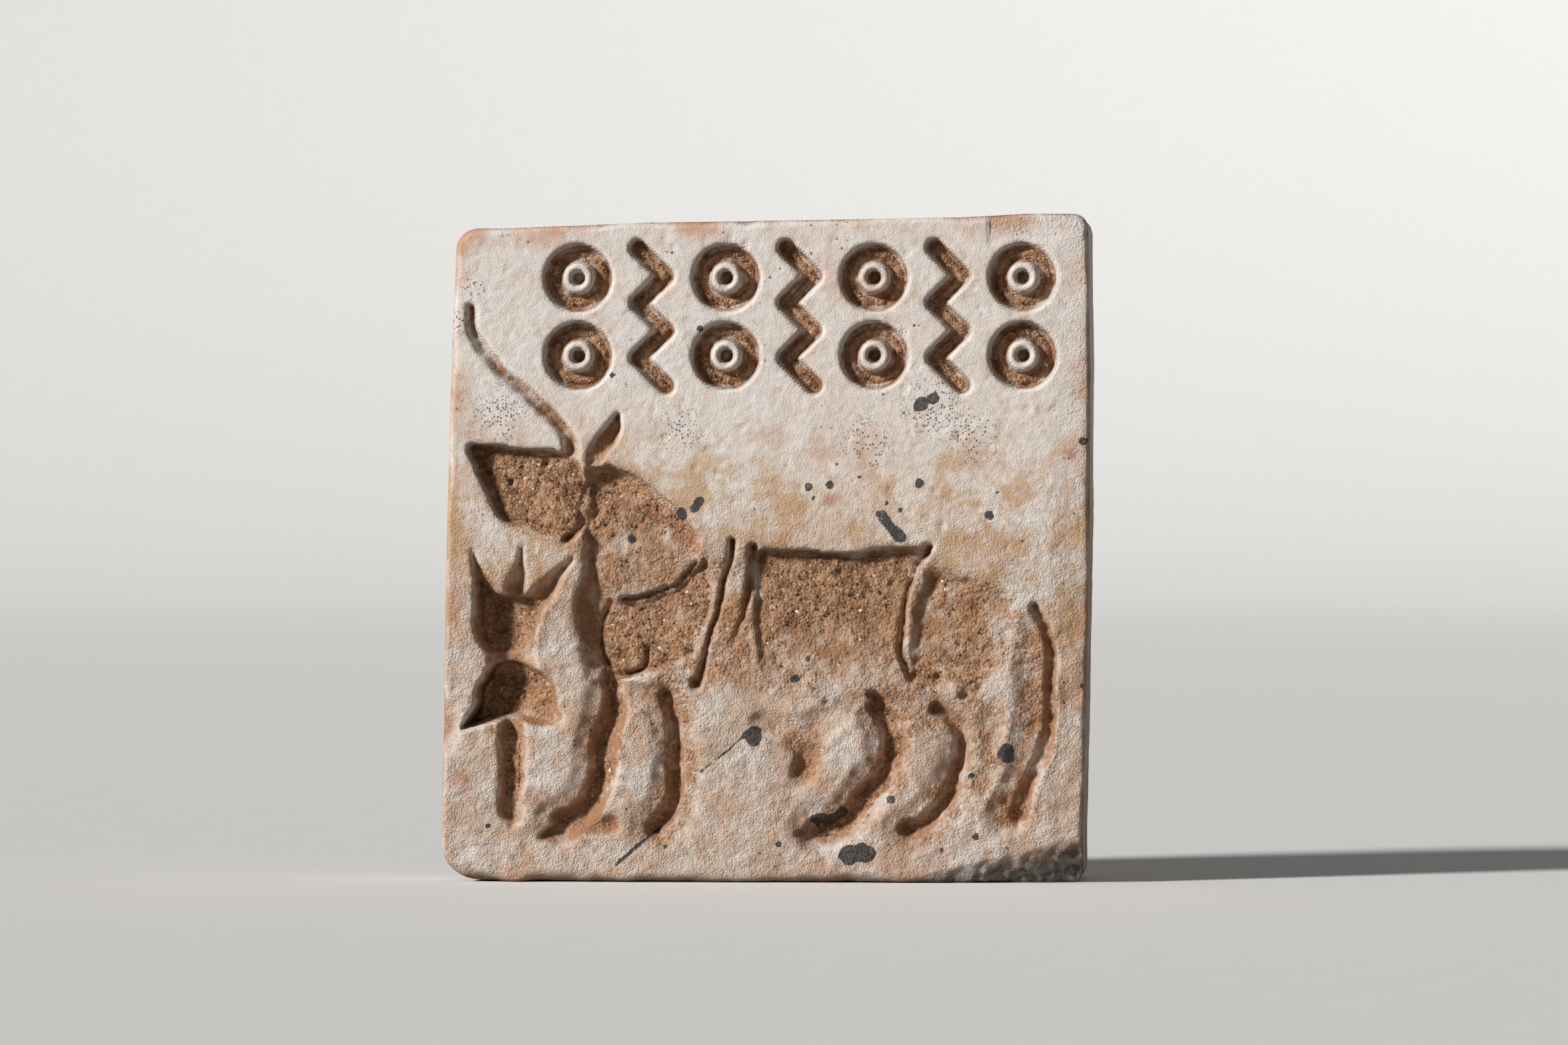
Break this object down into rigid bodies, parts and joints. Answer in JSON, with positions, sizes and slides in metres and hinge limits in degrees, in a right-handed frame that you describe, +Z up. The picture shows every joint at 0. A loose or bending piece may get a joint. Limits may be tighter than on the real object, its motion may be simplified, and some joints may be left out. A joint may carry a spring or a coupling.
{
  "type": "stamp seal",
  "caption": "Square soapstone stamp seal with a one-horned bull and an offering stand cut into its face, a frieze above them, and a pierced boss on its back.",
  "frame": {"origin": "middle of the footprint of the upright seal, on the surface that it stands on", "axes": "+Z up along the carved face, +X to the right as one looks at the carved face, -Y out of the carved face and +Y out of the boss"},
  "size_m": [0.035, 0.0154, 0.036],
  "materials": {
    "stone": "fired white steatite, smooth to finely gritty, stained and worn",
    "soil": "dry sandy burial soil, brown and grainy"
  },
  "bodies": {
    "root": {"stone": "stone", "soil_in_head": "soil", "soil_in_neck": "soil", "soil_in_chest": "soil", "soil_in_body": "soil", "soil_in_haunch": "soil", "soil_in_leading_foreleg": "soil", "soil_in_trailing_foreleg": "soil", "soil_in_leading_hindleg": "soil", "soil_in_trailing_hindleg": "soil", "soil_in_tail": "soil", "soil_in_stand_bowl": "soil", "soil_in_stand_dome": "soil", "soil_in_stand_stem": "soil", "soil_in_ring_1_upper": "soil", "soil_in_ring_1_lower": "soil", "soil_in_ring_2_upper": "soil", "soil_in_ring_2_lower": "soil", "soil_in_ring_3_upper": "soil", "soil_in_ring_3_lower": "soil", "soil_in_ring_4_upper": "soil", "soil_in_ring_4_lower": "soil", "soil_in_zigzag_1": "soil", "soil_in_zigzag_2": "soil", "soil_in_zigzag_3": "soil"}
  },
  "joints": []
}
